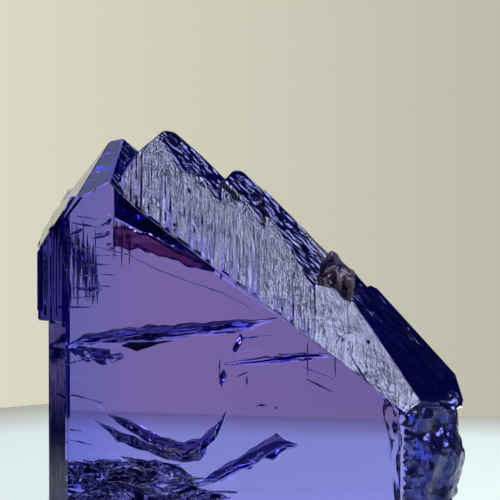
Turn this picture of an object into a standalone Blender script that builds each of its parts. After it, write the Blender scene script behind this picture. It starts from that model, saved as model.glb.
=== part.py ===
"""Rough tanzanite: one natural crystal of blue-violet zoisite, standing on its broken lower end.

The crystal is a flattened prism, wider than it is thick, whose two broad faces are flat and parallel.
Its top is a roof that runs down to the right. Crystals that grew side by side, all turned the same way,
step the ridge of that roof into peaks, each with a bright front slope and a dark right slope.
A striated overgrowth stands proud at the upper left, the lower right is a lumpy old fracture, and the
bottom is a fresh break with a small flat spot to stand on.

Lengths below are millimetres. X runs to the right, Y away from the viewer and Z up, with Z = 0 at the
flat spot and X = Y = 0 in the middle of the crystal.
"""

import math

import bmesh
import bpy
from mathutils import Matrix, Vector, noise

MM = 0.001

# Overall size
HALF_WIDTH = 12.6
HALF_DEPTH = 5.75

# Prism: the left side face and the chamfers beside it
SIDE_X = -11.88
RIGHT_END = 8.75
CHAMFER_WIDTH = 1.06
CHAMFER_DEPTH = 1.7

# Lower edge of the front slope, which runs down to the right across the front face
FRONT_EDGE_X = -8.12
FRONT_EDGE_Z = 23.34
SLOPE_DOWN = 0.756
SLOPE_BACK = 1.0

# Lower edge of the back slope
BACK_EDGE_X = -8.06
BACK_EDGE_Z = 21.22
BACK_EDGE_DOWN = 0.53
BACK_LOW_X = -2.18
BACK_LOW_DOWN = 0.68

# Right slopes of the side-by-side crystals fall this fast to the right and rise this fast to the back
RIGHT_DOWN = 1.0
RIGHT_BACK = 0.745
LOW_RIGHT_DOWN = 1.1
LOW_RIGHT_BACK = 0.56

# Ribs on the front slope: left edge, width, height at the lower edge, and how far back each fades out
RIB_FLANK = 0.35
RIBS = [
    (-7.60, 0.62, 0.10, -1.6),
    (-6.85, 0.50, 0.15, -0.4),
    (-6.10, 0.85, 0.11, -0.9),
    (-5.15, 0.48, 0.17, -1.3),
    (-4.45, 0.90, 0.12, -2.2),
    (-3.45, 0.60, 0.15, -2.9),
    (-2.75, 0.42, 0.10, -3.4),
    (-1.85, 0.66, 0.17, -0.9),
    (-1.00, 0.80, 0.13, -1.4),
    (-0.10, 0.55, 0.18, -1.9),
    (1.15, 0.74, 0.20, -3.1),
    (2.05, 0.50, 0.23, -3.4),
    (2.75, 0.68, 0.19, -4.0),
]

# Pits: middle, half width, depth and turn
PITS = [
    ((-3.65, -2.59, 23.14), 0.17, 0.20, 0.4),
    ((-4.50, -5.09, 21.28), 0.13, 0.22, 1.1),
    ((5.2, -4.5, 14.66), 0.20, 0.22, 0.7),
    ((6.8, -3.6, 14.33), 0.16, 0.20, 0.1),
]

EDGE_ROUND = 0.10
SHORT_EDGE = 0.001

# Colour of the crystal as linear light
CRYSTAL_COLOUR = (0.15, 0.12, 0.42, 1.0)

# Cell size of the rough lumps
DOME_CELL = 0.24
LUMP_CELL = 0.46
SEED_OFFSET = Vector((3.1, 7.7, 1.9))

# Upright ridges on the overgrowth at the left
RIDGES = 11
RIDGE_REACH = 12.5
CHAMFER_RIDGES = 5


def clear_scene():
    for item in list(bpy.data.objects):
        bpy.data.objects.remove(item, do_unlink=True)


def new_collection(name):
    made = bpy.data.collections.new(name)
    bpy.context.scene.collection.children.link(made)
    return made


def front_edge(x):
    """Height of the front slope's lower edge."""
    return FRONT_EDGE_Z - SLOPE_DOWN * (x - FRONT_EDGE_X)


def back_edge(x):
    """Height of the back slope's lower edge, which flattens towards the left."""
    if x < BACK_LOW_X:
        return BACK_EDGE_Z - BACK_EDGE_DOWN * (x - BACK_EDGE_X)
    low_z = BACK_EDGE_Z - BACK_EDGE_DOWN * (BACK_LOW_X - BACK_EDGE_X)
    return low_z - BACK_LOW_DOWN * (x - BACK_LOW_X)


def roof(x, y, z, slope_x, slope_y):
    """A plane through a point, rising by slope_x to the right and slope_y to the back; keeps below."""
    return Vector((x, y, z)), Vector((-slope_x, -slope_y, 1.0)).normalized()


def wall(x, y, to_x, to_y):
    """An upright plane through two points; keeps what is on the left when walking from one to the other."""
    along = Vector((to_x - x, to_y - y, 0.0))
    return Vector((x, y, 0.0)), Vector((along.y, -along.x, 0.0)).normalized()


def front_slope(lift=0.0, back=SLOPE_BACK):
    return roof(FRONT_EDGE_X, -HALF_DEPTH, FRONT_EDGE_Z + lift, -SLOPE_DOWN, back)


def back_slope(ridge_x, ridge_y, ridge_z, down):
    """The back slope through a ridge point and the back edge below it."""
    fall = (ridge_z - back_edge(ridge_x)) / (HALF_DEPTH - ridge_y)
    return roof(ridge_x, ridge_y, ridge_z, -down, -fall)


def right_slopes(level, ridge_y, down=RIGHT_DOWN, back=RIGHT_BACK):
    """Front and back right slopes. The front one has this level at x = 0 and y = 0; they meet at ridge_y."""
    return [
        roof(0.0, 0.0, level, -down, back),
        roof(0.0, ridge_y, level + back * ridge_y, -down, -back),
    ]


def low_right_slopes(level, ridge_y):
    return right_slopes(level, ridge_y, LOW_RIGHT_DOWN, LOW_RIGHT_BACK)


def over_roof(drop):
    """Upper end of the overgrowth, lowered by drop: steeper than the left peak and folded across."""
    return [
        roof(-11.94, 0.3, 21.20 - drop, 1.75, 0.12),
        roof(-11.94, 0.3, 21.20 - drop, 1.75, -0.25),
    ]


def peak_roof(drop):
    """The small left and top planes of the main peak, lowered by drop."""
    return [
        roof(FRONT_EDGE_X, -HALF_DEPTH, FRONT_EDGE_Z - drop, 0.855, 0.248),
        roof(-6.0, 0.0, 25.80 - drop, 0.87, -0.07),
        roof(-4.99, 0.0, 26.48 - drop, -0.15, -0.07),
    ]


def front_rib(name, x, width, height, fade_y, home):
    """A low, upright rib on the front slope, highest at the lower edge and fading out towards the ridge."""
    edge_y = -HALF_DEPTH + 0.02 + height * 0.3
    fall = height / (fade_y - edge_y)
    foot = front_edge(x)
    right_foot = front_edge(x + width)
    cuts = peak_roof(0.04) + [
        front_slope(height, SLOPE_BACK - fall),
        roof(x, -HALF_DEPTH, foot - 0.05, RIB_FLANK, SLOPE_BACK),
        roof(x + width, -HALF_DEPTH, right_foot - 0.05, -RIB_FLANK - 2 * SLOPE_DOWN, SLOPE_BACK),
    ]
    low = (x - 0.1, edge_y, foot - 3.0)
    high = (x + width + 0.1, fade_y, 28.0)
    return block(name, low, high, cuts, home, rounding=0.0)


def pit(name, place, across, deep, turn, home):
    """A small faceted pit, centred on the surface."""
    mesh = bpy.data.meshes.new(name)
    bm = bmesh.new()
    bmesh.ops.create_icosphere(bm, subdivisions=1, radius=1.0)
    bmesh.ops.rotate(bm, cent=(0.0, 0.0, 0.0), matrix=Matrix.Rotation(turn, 3, "Z"), verts=bm.verts)
    bmesh.ops.scale(bm, vec=(across, deep, across * 1.5), verts=bm.verts)
    bmesh.ops.translate(bm, vec=place, verts=bm.verts)
    bmesh.ops.scale(bm, vec=(MM, MM, MM), verts=bm.verts)
    bm.to_mesh(mesh)
    bm.free()
    made = bpy.data.objects.new(name, mesh)
    home.objects.link(made)
    return made


def block(name, low, high, cuts, home, rounding=EDGE_ROUND):
    """A crystal: a box between two corners, cut by planes, with its edges softened."""
    mesh = bpy.data.meshes.new(name)
    bm = bmesh.new()
    bmesh.ops.create_cube(bm, size=1.0)
    size = Vector(high) - Vector(low)
    middle = (Vector(high) + Vector(low)) / 2
    bmesh.ops.scale(bm, vec=size, verts=bm.verts)
    bmesh.ops.translate(bm, vec=middle, verts=bm.verts)
    for point, normal in cuts:
        everything = list(bm.verts) + list(bm.edges) + list(bm.faces)
        bmesh.ops.bisect_plane(bm, geom=everything, plane_co=point, plane_no=normal, clear_outer=True)
        rim = [edge for edge in bm.edges if edge.is_boundary]
        if rim:
            bmesh.ops.contextual_create(bm, geom=rim)
    bmesh.ops.remove_doubles(bm, verts=bm.verts, dist=0.005)
    bmesh.ops.dissolve_limit(bm, angle_limit=0.01, verts=bm.verts, edges=bm.edges)
    if rounding > 0:
        sharp = [edge for edge in bm.edges if edge.calc_face_angle(0.0) > 0.25]
        bmesh.ops.bevel(bm, geom=sharp, offset=rounding, segments=1, affect="EDGES", clamp_overlap=True)
    bmesh.ops.triangulate(bm, faces=bm.faces)
    bmesh.ops.recalc_face_normals(bm, faces=bm.faces)
    bmesh.ops.scale(bm, vec=(MM, MM, MM), verts=bm.verts)
    bm.to_mesh(mesh)
    bm.free()
    made = bpy.data.objects.new(name, mesh)
    home.objects.link(made)
    return made


def lumpy(name, low, high, cells, shape, home):
    """A finely divided box whose points are moved by shape(x, y, z), for lumps and broken faces."""
    mesh = bpy.data.meshes.new(name)
    bm = bmesh.new()
    bmesh.ops.create_cube(bm, size=1.0)
    size = Vector(high) - Vector(low)
    middle = (Vector(high) + Vector(low)) / 2
    bmesh.ops.scale(bm, vec=size, verts=bm.verts)
    bmesh.ops.translate(bm, vec=middle, verts=bm.verts)
    for axis in range(3):
        for step in range(1, cells[axis]):
            cut = Vector(low)
            cut[axis] += size[axis] * step / cells[axis]
            across = Vector((0.0, 0.0, 0.0))
            across[axis] = 1.0
            everything = list(bm.verts) + list(bm.edges) + list(bm.faces)
            bmesh.ops.bisect_plane(bm, geom=everything, plane_co=cut, plane_no=across)
    for vert in bm.verts:
        vert.co = shape(vert.co.copy())
    bmesh.ops.triangulate(bm, faces=bm.faces)
    bmesh.ops.recalc_face_normals(bm, faces=bm.faces)
    bmesh.ops.scale(bm, vec=(MM, MM, MM), verts=bm.verts)
    bm.to_mesh(mesh)
    bm.free()
    made = bpy.data.objects.new(name, mesh)
    home.objects.link(made)
    return made


def give_material(item):
    """See-through blue-violet crystal."""
    made = bpy.data.materials.new("tanzanite")
    made.use_nodes = True
    shader = made.node_tree.nodes["Principled BSDF"]
    shader.inputs["Base Color"].default_value = CRYSTAL_COLOUR
    shader.inputs["Roughness"].default_value = 0.05
    shader.inputs["Metallic"].default_value = 0.0
    item.data.materials.append(made)


def weld_short_edges(item, name):
    weld = item.modifiers.new(name, "WELD")
    weld.merge_threshold = SHORT_EDGE * MM


def even_out(item, size):
    """Remake a lump in cells of one size, so that no fold of it runs through another."""
    remake = item.modifiers.new("even cells", "REMESH")
    remake.mode = "VOXEL"
    remake.voxel_size = size * MM
    item.modifiers.new("flat triangles", "TRIANGULATE")


def blend(points, at):
    """Straight-line reading of a short list of (place, value) pairs."""
    for (place_a, value_a), (place_b, value_b) in zip(points, points[1:]):
        if at <= place_b:
            share = max(0.0, (at - place_a) / (place_b - place_a))
            return value_a + share * (value_b - value_a)
    return points[-1][1]


def roughness(co, size, amount):
    """Three sizes of bump, each finer and lower than the last."""
    bump = noise.noise(co / size + SEED_OFFSET)
    bump += 0.5 * noise.noise(co / size * 2.3 + SEED_OFFSET * 2)
    bump += 0.3 * noise.noise(co / size * 4.7 + SEED_OFFSET * 3)
    return amount * bump


# How far the lumpy lower right reaches, from the bottom up: height and reach to the right
LUMP_LOW = Vector((7.2, -5.45, 0.2))
LUMP_HIGH = Vector((12.5, 5.4, 11.3))
LUMP_REACH = [
    (0.0, 9.6),
    (2.6, 10.9),
    (4.7, 11.9),
    (5.6, 12.3),
    (7.9, 12.55),
    (9.6, 12.2),
    (10.5, 12.4),
    (11.3, 11.6),
]


def lump_shape(co):
    """Round the box in plan, follow the reach up its right side, and roughen it."""
    across = (co.x - LUMP_LOW.x) / (LUMP_HIGH.x - LUMP_LOW.x)
    reach = blend(LUMP_REACH, co.z)
    half = (LUMP_HIGH.y - LUMP_LOW.y) / 2
    middle_y = (LUMP_HIGH.y + LUMP_LOW.y) / 2
    side = (co.y - middle_y) / half
    narrowing = 1.0 - 0.52 * across ** 2.1
    rounding = 1.0 - 0.10 * abs(side) ** 3 * across
    moved = Vector((
        LUMP_LOW.x + (reach - LUMP_LOW.x) * across * rounding,
        middle_y + side * half * narrowing,
        co.z,
    ))
    near_top = max(0.0, min(1.0, (co.z - 9.8) / 1.5))
    moved.z -= 0.9 * near_top * across * abs(side)
    amount = 0.95 * min(1.0, across * 3.0)
    push = Vector((0.35, 1.0 if side > 0 else -1.0, 0.0)).normalized()
    moved += push * (roughness(moved, 2.1, amount) - 0.25 * amount)
    moved.z += roughness(moved + SEED_OFFSET, 1.7, 0.5 * amount)
    moved.x = min(moved.x, HALF_WIDTH)
    return moved


# The dome behind the fourth slope
DOME_LOW = Vector((3.82, -2.15, 16.2))
DOME_HIGH = Vector((6.0, 1.6, 19.3))


def dome_shape(co):
    """Round the top of the box into a dome and pit it."""
    middle = (DOME_LOW + DOME_HIGH) / 2
    half = (DOME_HIGH - DOME_LOW) / 2
    rel = Vector(((co.x - middle.x) / half.x, (co.y - middle.y) / half.y, (co.z - middle.z) / half.z))
    top = max(0.0, rel.z)
    shrink = 1.0 - 0.55 * top ** 2.2
    lean = 0.25 * top * half.x
    moved = Vector((middle.x + rel.x * half.x * shrink - lean, middle.y + rel.y * half.y * shrink, co.z))
    moved.z -= 0.28 * half.z * (rel.x ** 2 + rel.y ** 2) * top
    out = Vector((rel.x, rel.y, rel.z)).normalized()
    return moved + out * roughness(moved, 0.55, 0.16)


# The broken bottom: the break rises from the flat spot towards the rim
FLAT_MIDDLE = Vector((-1.2, 0.2, 0.0))
FLAT_HALF = Vector((7.6, 3.6, 0.0))


def break_shape(co):
    """Top of the cutter: under the flat spot it stays below the crystal, and climbs outside it."""
    if co.z < -1.0:
        return co
    out_x = abs(co.x - FLAT_MIDDLE.x) / FLAT_HALF.x
    out_y = abs(co.y - FLAT_MIDDLE.y) / FLAT_HALF.y
    beyond = (out_x ** 4 + out_y ** 4) ** 0.25 - 1.0
    height = 2.6 * beyond if beyond > 0 else 1.0 * beyond
    shell = math.sin(7.0 * beyond + 2.0 * noise.noise(co / 4.0))
    height += 0.28 * shell * max(0.0, min(1.0, beyond * 3.0))
    height += roughness(co, 2.4, 0.75) * max(0.0, min(1.0, beyond * 4.0))
    return Vector((co.x, co.y, height - 0.02))


def main():
    clear_scene()
    crystals = new_collection("rough_tanzanite")
    helpers = new_collection("joined_crystals")
    side = SIDE_X
    depth = HALF_DEPTH
    chamfers = [
        wall(side, -depth + CHAMFER_DEPTH, side + CHAMFER_WIDTH, -depth),
        wall(side + CHAMFER_WIDTH, depth, side, depth - CHAMFER_DEPTH),
    ]

    body = block("left_peak", (side, -depth, 0.03), (-6.3, depth, 28.0), chamfers + [
        roof(-11.94, 0.3, 21.29, 1.283, 0.10),
        roof(-11.94, 0.3, 21.29, 1.283, -0.22),
        roof(-9.18, -depth, 23.37, 0.573, 0.344),
        roof(-7.65, 0.3, 26.33, 0.573, -0.42),
        roof(-8.0, 0.0, 25.93, 0.19, -0.07),
        roof(-7.82, -2.15, 25.42, -1.0, 0.56),
        roof(-7.41, -0.7, 26.05, -0.785, -0.40),
        wall(-6.5, -0.7, -8.06, depth),
    ], crystals)

    # Striated overgrowth round the left side, with its lower end broken into a ragged step
    grown = []
    grown.append(block("overgrowth", (-12.42, -depth + 0.01, 15.6), (-9.4, 5.1, 23.0), over_roof(0.0) + [
        roof(-11.94, 0.3, 21.34, 1.25, 0.0),
        wall(-12.42, -3.7, -10.98, -depth),
        wall(-11.3, 5.1, -12.42, 3.7),
    ], helpers, rounding=0.06))
    for count in range(RIDGES):
        share = count / (RIDGES - 1)
        middle_y = -3.6 + 7.6 * share + 0.2 * math.sin(9.0 * count)
        half = 0.30 + 0.12 * math.sin(4.0 * count + 1.0)
        reach = RIDGE_REACH + 0.09 * math.sin(5.3 * count + 0.6)
        foot = 15.33 + 0.45 * (1.0 + math.sin(3.7 * count + 2.0))
        drop = 0.07 + 0.05 * (count % 3) + 0.007 * count
        low = (-reach, middle_y - half, foot)
        high = (-9.6, middle_y + half, 23.0)
        grown.append(block("ridge_%d" % count, low, high, over_roof(drop) + [
            wall(-reach, middle_y - 0.4 * half, -reach + 0.5 * half, middle_y - half),
            wall(-reach + 0.5 * half, middle_y + half, -reach, middle_y + 0.4 * half),
        ], helpers, rounding=0.0))
    for count in range(CHAMFER_RIDGES):
        start_x = -12.5 + 0.36 * count
        start_y = -3.85 - 0.46 * count
        foot = 15.3 + 0.4 * (1.0 + math.sin(2.9 * count))
        drop = 0.11 + 0.06 * (count % 2) + 0.009 * count
        low = (start_x, start_y, foot)
        high = (-9.8, -2.0 - 0.1 * count, 22.9)
        grown.append(block("front_ridge_%d" % count, low, high, over_roof(drop) + [
            roof(-9.18, -depth, 23.37 - drop, 0.573, 0.344),
        ], helpers, rounding=0.0))

    grown.append(block("main_peak", (-8.35, -depth + 0.004, 0.0), (RIGHT_END, depth - 0.004, 28.0), [
        front_slope(),
        back_slope(-4.74, 0.9, 26.6, BACK_EDGE_DOWN),
        back_slope(0.0, 0.9, 23.0, BACK_LOW_DOWN),
    ] + peak_roof(0.0) + right_slopes(21.4, 0.9), helpers))

    grown.append(block("main_step", (-7.0, -depth + 0.02, 0.1), (RIGHT_END - 0.11, depth - 0.02, 25.0), [
        front_slope(-0.01),
        roof(-4.32, -1.96, 24.26, -0.38, 0.2),
        back_slope(-4.74, 0.9, 26.55, BACK_EDGE_DOWN),
        back_slope(-2.5, 0.3, 24.4, BACK_LOW_DOWN),
    ] + right_slopes(21.9, 0.3), helpers))

    low = (-2.25, -depth + 0.01, 0.15)
    high = (RIGHT_END - 0.23, depth - 0.1, 25.0)
    grown.append(block("second_slope", low, high, [
        front_slope(0.03),
        roof(-1.2, -1.6, 22.42, -0.12, 0.12),
        back_slope(-0.5, 1.2, 23.8, BACK_LOW_DOWN),
    ] + right_slopes(22.7, 1.2), helpers))

    grown.append(block("second_peak", (-2.1, -1.5, 12.0), (6.0, depth - 0.3, 25.0), [
        roof(-0.5, -1.0, 22.3, -0.9, 2.2),
        roof(-1.71, 1.0, 23.55, 0.9, 0.0),
        roof(-0.65, 1.0, 24.05, -0.12, 0.0),
        roof(0.18, 1.0, 23.62, -0.62, 0.0),
        back_slope(-0.5, 1.2, 24.0, BACK_LOW_DOWN),
    ] + right_slopes(22.66, 1.26), helpers))

    grown.append(block("third_slope", (0.74, -depth + 0.015, 0.2), (RIGHT_END - 0.36, depth - 0.2, 25.0), [
        front_slope(0.06),
        roof(1.1, -0.9, 21.45, -0.2, 0.12),
        back_slope(1.2, 0.8, 22.2, BACK_LOW_DOWN),
    ] + right_slopes(23.12, 0.8), helpers))

    grown.append(block("third_peak", (0.72, -1.2, 12.0), (6.5, depth - 0.4, 25.0), [
        roof(1.1, -0.75, 21.5, -0.9, 2.0),
        roof(0.76, 0.8, 22.97, -0.62, 0.0),
        roof(2.76, 0.8, 21.1, -1.25, 0.0),
        back_slope(1.6, 0.8, 22.5, BACK_LOW_DOWN),
    ] + right_slopes(23.10, 0.83), helpers))

    low = (3.66, -depth + 0.008, 0.25)
    high = (RIGHT_END - 0.17, depth - 0.15, 22.0)
    grown.append(block("fourth_slope", low, high, [
        roof(3.66, -depth, front_edge(3.66) + 0.05, -0.80, 1.055),
        roof(4.7, -2.05, 17.66, -0.06, 0.1),
        back_slope(4.7, 1.0, 18.9, BACK_LOW_DOWN),
    ] + low_right_slopes(24.16, 1.0), helpers))

    dome = lumpy("fourth_peak", DOME_LOW, DOME_HIGH, (10, 14, 12), dome_shape, helpers)
    even_out(dome, DOME_CELL)
    grown.append(dome)

    grown.append(block("fourth_back", (4.6, -1.6, 12.0), (9.4, depth - 0.25, 22.0), [
        roof(5.41, 0.4, 18.85, -0.6, 0.0),
        roof(6.2, 0.4, 17.9, -1.4, 0.0),
        back_slope(5.4, 1.2, 18.8, BACK_LOW_DOWN),
    ] + low_right_slopes(24.13, 1.2), helpers))

    grown.append(block("fifth_peak", (5.6, -depth + 0.03, 10.2), (12.45, depth - 0.3, 22.0), [
        roof(3.66, -depth, front_edge(3.66) + 0.08, -0.80, 1.055),
        wall(8.9, -depth, 12.5, -0.95),
        wall(12.5, 1.8, 9.3, depth),
        roof(6.47, 0.4, 17.1, 0.35, 0.0),
        roof(6.94, 0.4, 17.3, -0.55, 0.0),
        roof(11.5, 0.4, 12.85, -1.7, 0.0),
        roof(12.1, 0.4, 11.7, -3.2, 0.0),
        back_slope(7.8, 1.7, 16.8, BACK_LOW_DOWN),
    ] + low_right_slopes(24.25, 1.7), helpers))

    lump = lumpy("old_fracture", LUMP_LOW, LUMP_HIGH, (16, 30, 32), lump_shape, helpers)
    even_out(lump, LUMP_CELL)
    grown.append(lump)

    for count, (x, width, height, fade_y) in enumerate(RIBS):
        grown.append(front_rib("rib_%d" % count, x, width, height, fade_y, helpers))

    for crystal in grown:
        crystal.hide_render = True
        crystal.display_type = "WIRE"
    joint = body.modifiers.new("grown together", "BOOLEAN")
    joint.operation = "UNION"
    joint.solver = "EXACT"
    joint.operand_type = "COLLECTION"
    joint.collection = helpers

    breaks = new_collection("broken_off")
    low = (-14.0, -7.0, -4.0)
    high = (14.0, 7.0, 0.0)
    breaking = lumpy("broken_bottom", low, high, (40, 20, 1), break_shape, breaks)
    removed = [breaking]
    for count, (place, across, deep, turn) in enumerate(PITS):
        removed.append(pit("pit_%d" % count, place, across, deep, turn, breaks))
    for cutter in removed:
        cutter.hide_render = True
        cutter.display_type = "WIRE"
    weld_short_edges(body, "tidy the joints")
    body.modifiers.new("flat triangles", "TRIANGULATE")
    cut = body.modifiers.new("break off the bottom", "BOOLEAN")
    cut.operation = "DIFFERENCE"
    cut.solver = "EXACT"
    cut.operand_type = "COLLECTION"
    cut.collection = breaks
    weld_short_edges(body, "tidy the break")

    give_material(body)
    body.name = "tanzanite_crystal"


main()
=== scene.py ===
import math

import bpy
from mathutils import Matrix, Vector, noise


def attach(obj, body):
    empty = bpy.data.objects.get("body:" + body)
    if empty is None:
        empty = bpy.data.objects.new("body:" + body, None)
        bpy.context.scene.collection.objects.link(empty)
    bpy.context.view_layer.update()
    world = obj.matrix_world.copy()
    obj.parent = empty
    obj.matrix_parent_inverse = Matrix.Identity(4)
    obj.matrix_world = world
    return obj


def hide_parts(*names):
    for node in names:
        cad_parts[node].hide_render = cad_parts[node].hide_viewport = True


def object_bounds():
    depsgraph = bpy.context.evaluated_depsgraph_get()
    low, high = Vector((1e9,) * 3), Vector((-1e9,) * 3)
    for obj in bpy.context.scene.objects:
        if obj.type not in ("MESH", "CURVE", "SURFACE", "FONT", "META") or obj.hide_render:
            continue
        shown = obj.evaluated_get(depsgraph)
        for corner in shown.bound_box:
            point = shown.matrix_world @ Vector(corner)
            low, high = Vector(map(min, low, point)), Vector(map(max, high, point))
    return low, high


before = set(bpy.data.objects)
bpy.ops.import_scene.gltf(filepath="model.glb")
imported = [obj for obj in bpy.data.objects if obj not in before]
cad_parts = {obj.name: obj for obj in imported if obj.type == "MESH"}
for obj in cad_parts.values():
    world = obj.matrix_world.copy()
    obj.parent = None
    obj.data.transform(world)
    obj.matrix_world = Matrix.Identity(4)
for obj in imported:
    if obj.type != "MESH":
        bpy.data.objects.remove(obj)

MM = 0.001
CAD_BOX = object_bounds()
NODE = "tanzanite_crystal"

# Lengths from here on are in mm, measured across to the right, back from the middle of the slab and up

# Half the thickness of the slab, from its own box
HALF_DEPTH = (CAD_BOX[1].y - CAD_BOX[0].y) / 2 / MM

# Camera, as in the photograph: straight before the broad front face, looking down a little
VIEW_DOWN = math.radians(4.0)
CAMERA_AWAY = 500.0
PIXELS_ACROSS = 500.0
PIXELS_PER_MM = 17.0
FIELD_WIDE = PIXELS_ACROSS / PIXELS_PER_MM
AIM = Vector((-0.12, 0.0, 19.46))

# Optics of zoisite: how much it bends light, and what it absorbs, per metre of crystal
GEM_IOR = 1.695
ABSORBED_DENSITY = 150.0
ABSORBED_COLOUR = "#9e93f1"

# Colour zones of the broad faces, and the levels and places between which one passes into the next
UPPER_ZONE = "#fde2fd"
LOWER_ZONE = "#ffffff"
LEFT_ZONE = "#d4dafd"
ZONE_LEVELS = (8.8, 10.4)
ZONE_ACROSS = (-5.0, -11.5)

# Steps smaller than this between the crystals on a broad face are levelled
LEVELLED = 0.035

# How near two points of the body are when they become one, before the levelling and after it
BODY_WELD = 0.001
LEVELLED_WELD = 0.002

# Broken places: the old fracture at the right, less one corner of the slope, and the worn fourth peak
LUMP_LEFT = 8.86
LUMP_TOP = 10.9
CORNER_RIGHT = 9.5
CORNER_BACK = -1.5
CORNER_BOTTOM = 10.15
DOME_ACROSS = (3.75, 6.1)
DOME_BACK = (-2.3, 1.7)
DOME_BOTTOM = 16.75

# Their finer roughness: depth of the chips and of the sharp edges between them, sizes of the large
# and small chips and of the edges, cuts in each face, and the largest face, in square mm, that
# belongs to a broken place
CHIP_DEEP = 0.16
EDGE_DEEP = 0.128
CHIP_LARGE = 1.1
CHIP_SMALL = 0.5
CHIP_EDGE = 1.5
CHIP_CUTS = 2
SMALL_FACE = 0.6

# Directions in which the growth faces look, and how far from them, in degrees, a face may look to be one
RIGHT_SLOPE = Vector((1.05, -0.65, 1.0)).normalized()
FRONT_SLOPE = Vector((0.756, -1.0, 1.0)).normalized()
LEFT_CHAMFER = Vector((-0.85, -0.53, 0.0)).normalized()
RIGHT_NEAR = 8.0
FRONT_NEAR = 22.0
CHAMFER_NEAR = 12.0

# Where one finish ends and the next begins
FRACTURE_LEFT = 8.0
OVERGROWTH_RIGHT = -10.9
OVERGROWTH_BOTTOM = 15.3
CHIPPED_PEAKS = (-6.3, 5.0)
LOW_SLOPE_LEFT = 3.7

# Three directions for each pattern. The first crosses its ridges, and the others run down or
# through the face.
DOWN_FRONT = [(1.0, 0.0, 0.0), (0.0, 1.0, 1.0), (0.0, -1.0, 1.0)]
DOWN_RIGHT = [(0.0, 1.0, 0.0), (1.1, 0.0, 1.0), (1.0, 0.0, -1.1)]
DOWN_SIDE = [(0.53, -0.85, 0.0), (0.0, 0.0, 1.0), (0.85, 0.53, 0.0)]
ACROSS_FRONT = [(0.43, 0.0, 1.0), (1.0, 0.0, -0.43), (0.0, 1.0, 0.0)]
EVERY_WAY = [(1.0, 0.0, 0.0), (0.0, 1.0, 0.0), (0.0, 0.0, 1.0)]

# Low terraces on the bright slope: which way they rise, how far apart, where they start, and how
# far and in what sizes their edges wander
STEP_RISE = Vector((0.43, 0.0, 1.0))
STEP_APART = 2.2
STEP_START = -0.72
STEP_WANDER = 0.9
STEP_SWELL = (2.6, 2.0, 2.0)

# Etched marks: the part of their pattern over which the gloss goes from dull to full
ETCHED_SPAN = (0.40, 0.48)

# Every crack: how far it keeps from the broad faces, how near two of its points are when they
# become one, and the size and depth of the bays in its edges
CRACK_CLEAR = 0.08
CRACK_WELD = 0.0005
RAGGED_WIDE = 0.7
RAGGED_DEEP = 0.25

# Cracks, as rows of (across, upper edge, lower edge), as the front view shows them
LONG_CRACK = [
    (-10.8, 13.76, 13.70), (-9.9, 14.44, 13.80), (-6.9, 14.94, 14.00), (-4.9, 15.06, 14.14),
    (-2.6, 15.20, 14.40), (-0.2, 15.35, 14.60), (0.4, 15.40, 14.95), (1.5, 15.47, 15.40),
]
BLACK_LENS = [
    (-7.6, 13.85, 13.80), (-7.2, 14.05, 13.70), (-6.7, 14.10, 13.52), (-6.2, 14.08, 13.66),
    (-5.4, 14.12, 13.94), (-4.6, 14.15, 14.10),
]
VEIL = [(-10.7, 13.8, 13.5), (-9.8, 13.7, 12.9), (-8.6, 13.7, 12.6), (-7.5, 13.3, 13.1)]
MIDDLE_CRACK = [
    (-1.8, 12.75, 12.70), (-0.6, 13.0, 12.6), (1.5, 13.3, 12.75), (3.4, 13.4, 12.9), (4.9, 13.3, 13.2),
]
LEFT_WING = [
    (-8.47, 9.82, 9.74), (-7.47, 9.59, 9.00), (-6.29, 9.00, 8.24), (-5.12, 8.41, 7.53),
    (-3.94, 8.18, 7.24), (-3.06, 8.41, 7.53), (-2.18, 9.12, 8.24), (-1.47, 10.05, 9.80),
]
LEFT_CORE = [
    (-9.24, 9.47, 9.41), (-8.35, 9.12, 8.76), (-7.88, 8.94, 8.18), (-6.88, 8.59, 7.88),
    (-6.00, 8.12, 7.60), (-5.12, 7.75, 7.20), (-4.12, 7.50, 7.00), (-3.06, 7.60, 7.06),
    (-2.65, 7.88, 7.53),
]
RIGHT_FEATHER = [
    (-3.0, 5.76, 5.60), (-2.2, 6.47, 5.60), (-1.1, 7.06, 6.20), (1.4, 8.60, 7.30), (2.7, 7.96, 7.90),
]
EDGE_VEIL = [(7.5, 10.65, 10.3), (8.0, 10.75, 8.6), (8.45, 10.3, 5.2), (8.66, 9.0, 4.0)]
THIN_CRACK = [
    (-9.1, 19.61, 19.57), (-7.2, 19.15, 19.06), (-5.4, 18.23, 18.14), (-3.1, 17.38, 17.29),
    (-1.7, 16.90, 16.82), (-0.1, 16.02, 15.98),
]
WINE_STREAK = [
    (-8.1, 20.75, 19.70), (-7.2, 20.75, 19.45), (-6.3, 20.50, 19.35), (-4.9, 19.85, 18.94),
    (-3.4, 19.15, 18.35), (-2.2, 18.45, 18.10),
]

# Short cracks: height and size of their folds, widest opening, half the height of their tips, share
# healed shut, and points per mm along and up
SHORT_WRINKLE = 0.09
SHORT_GRAIN = 0.4
SHORT_GAP = 0.03
SHORT_TIP = 0.02
SHORT_HOLES = 0.22
SHORT_CELLS = (7.5, 11.0)

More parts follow.
